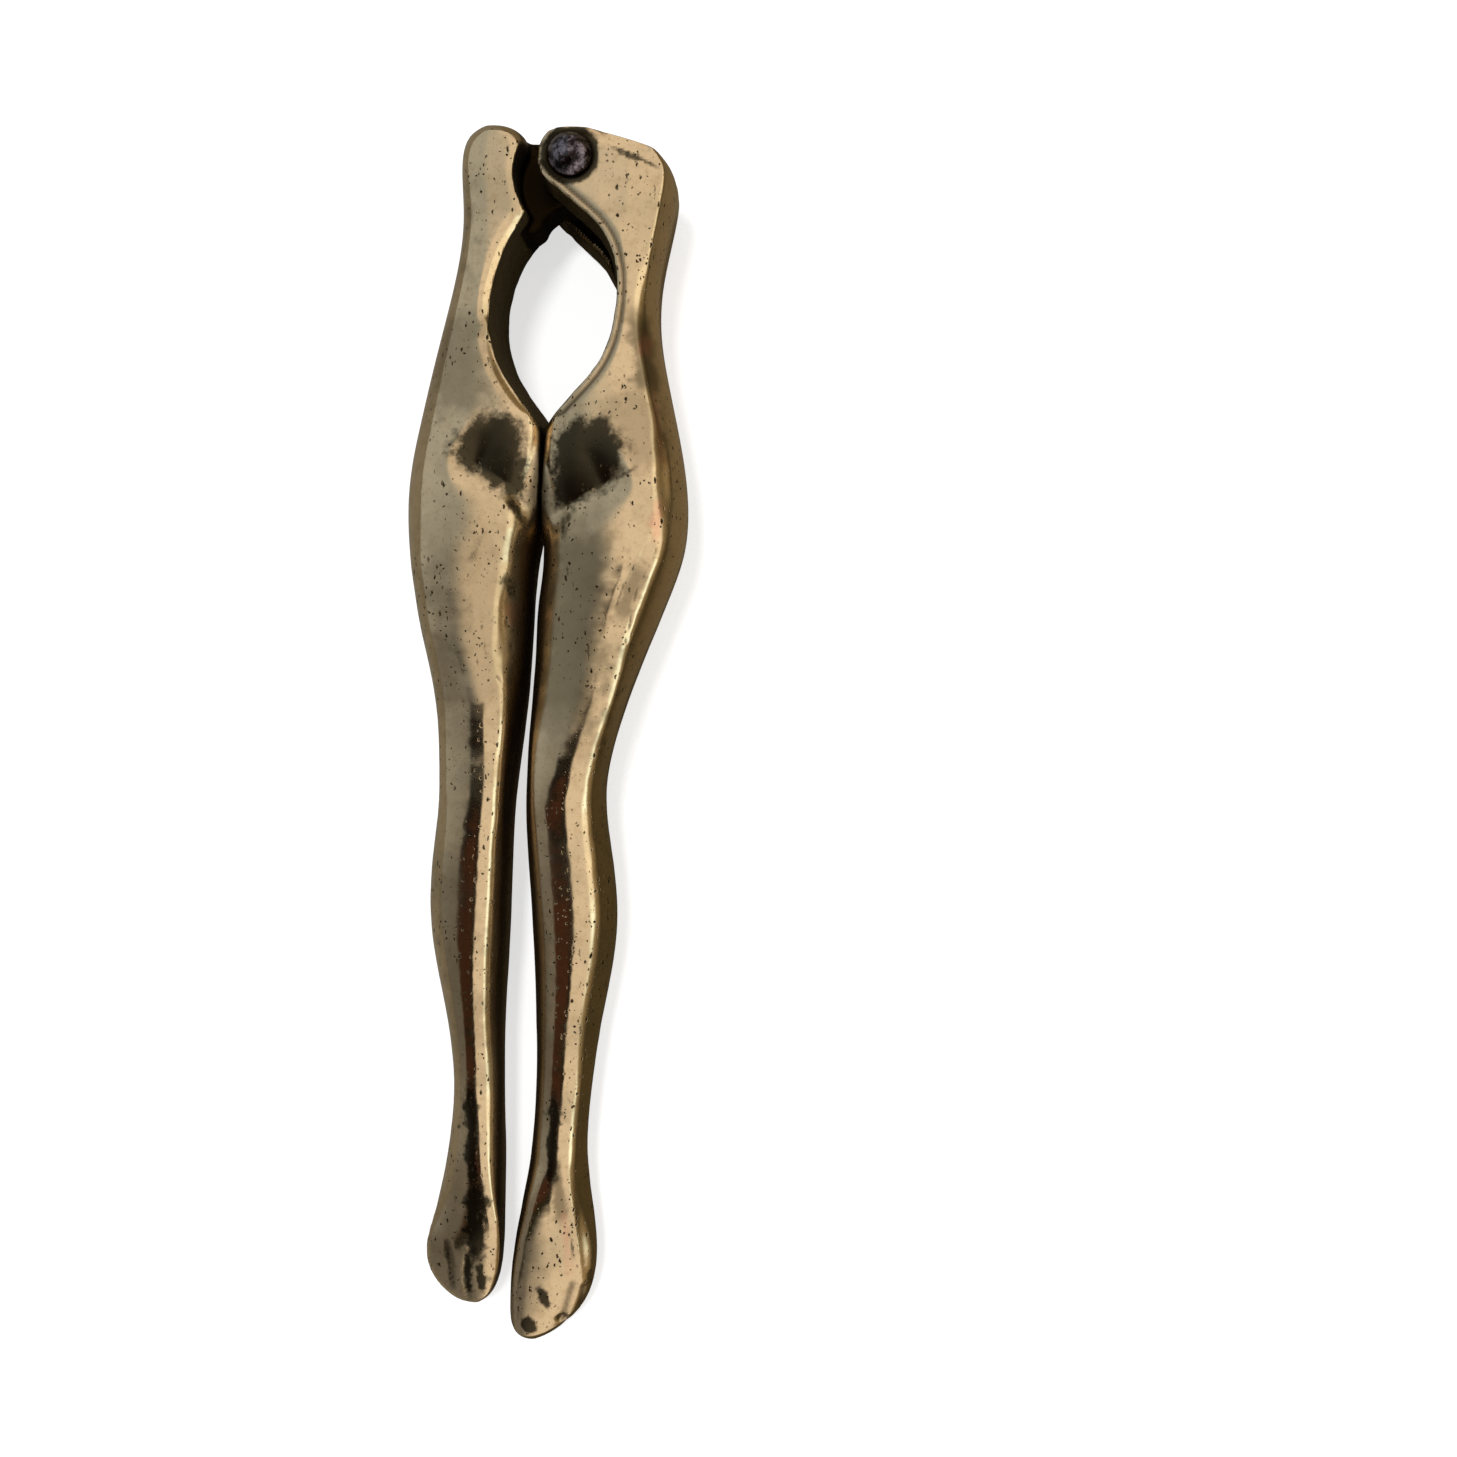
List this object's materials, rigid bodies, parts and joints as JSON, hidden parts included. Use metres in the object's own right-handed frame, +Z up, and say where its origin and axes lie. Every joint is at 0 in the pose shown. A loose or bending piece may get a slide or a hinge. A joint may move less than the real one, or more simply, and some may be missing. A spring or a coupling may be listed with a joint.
{
  "type": "nutcracker",
  "caption": "Cast brass hinged nutcracker shaped as a pair of legs, with almond-shaped jaws between a riveted hinge and the hips, and the legs as handles.",
  "frame": {"origin": "middle of the underside of the whole object's box, on the surface it lies on", "axes": "+Z up from the surface towards the rivet's head, +Y from the feet to the hinge, X across the pair"},
  "size_m": [0.033, 0.1444, 0.0177],
  "materials": {
    "brass": "aged polished casting, worn bright on the high places, brown in the hollows",
    "iron": "dark domed rivet, worn and mottled"
  },
  "bodies": {
    "right_leg": {"right_leg": "brass", "rivet": "iron"},
    "left_leg": {"left_leg": "brass"}
  },
  "joints": [
    {"name": "hinge", "type": "hinge", "parent": "right_leg", "child": "left_leg", "pos_m": [0.00326, 0.0679, 0.008], "axis": [0, 0, -1], "range_deg": [0, 90]}
  ]
}
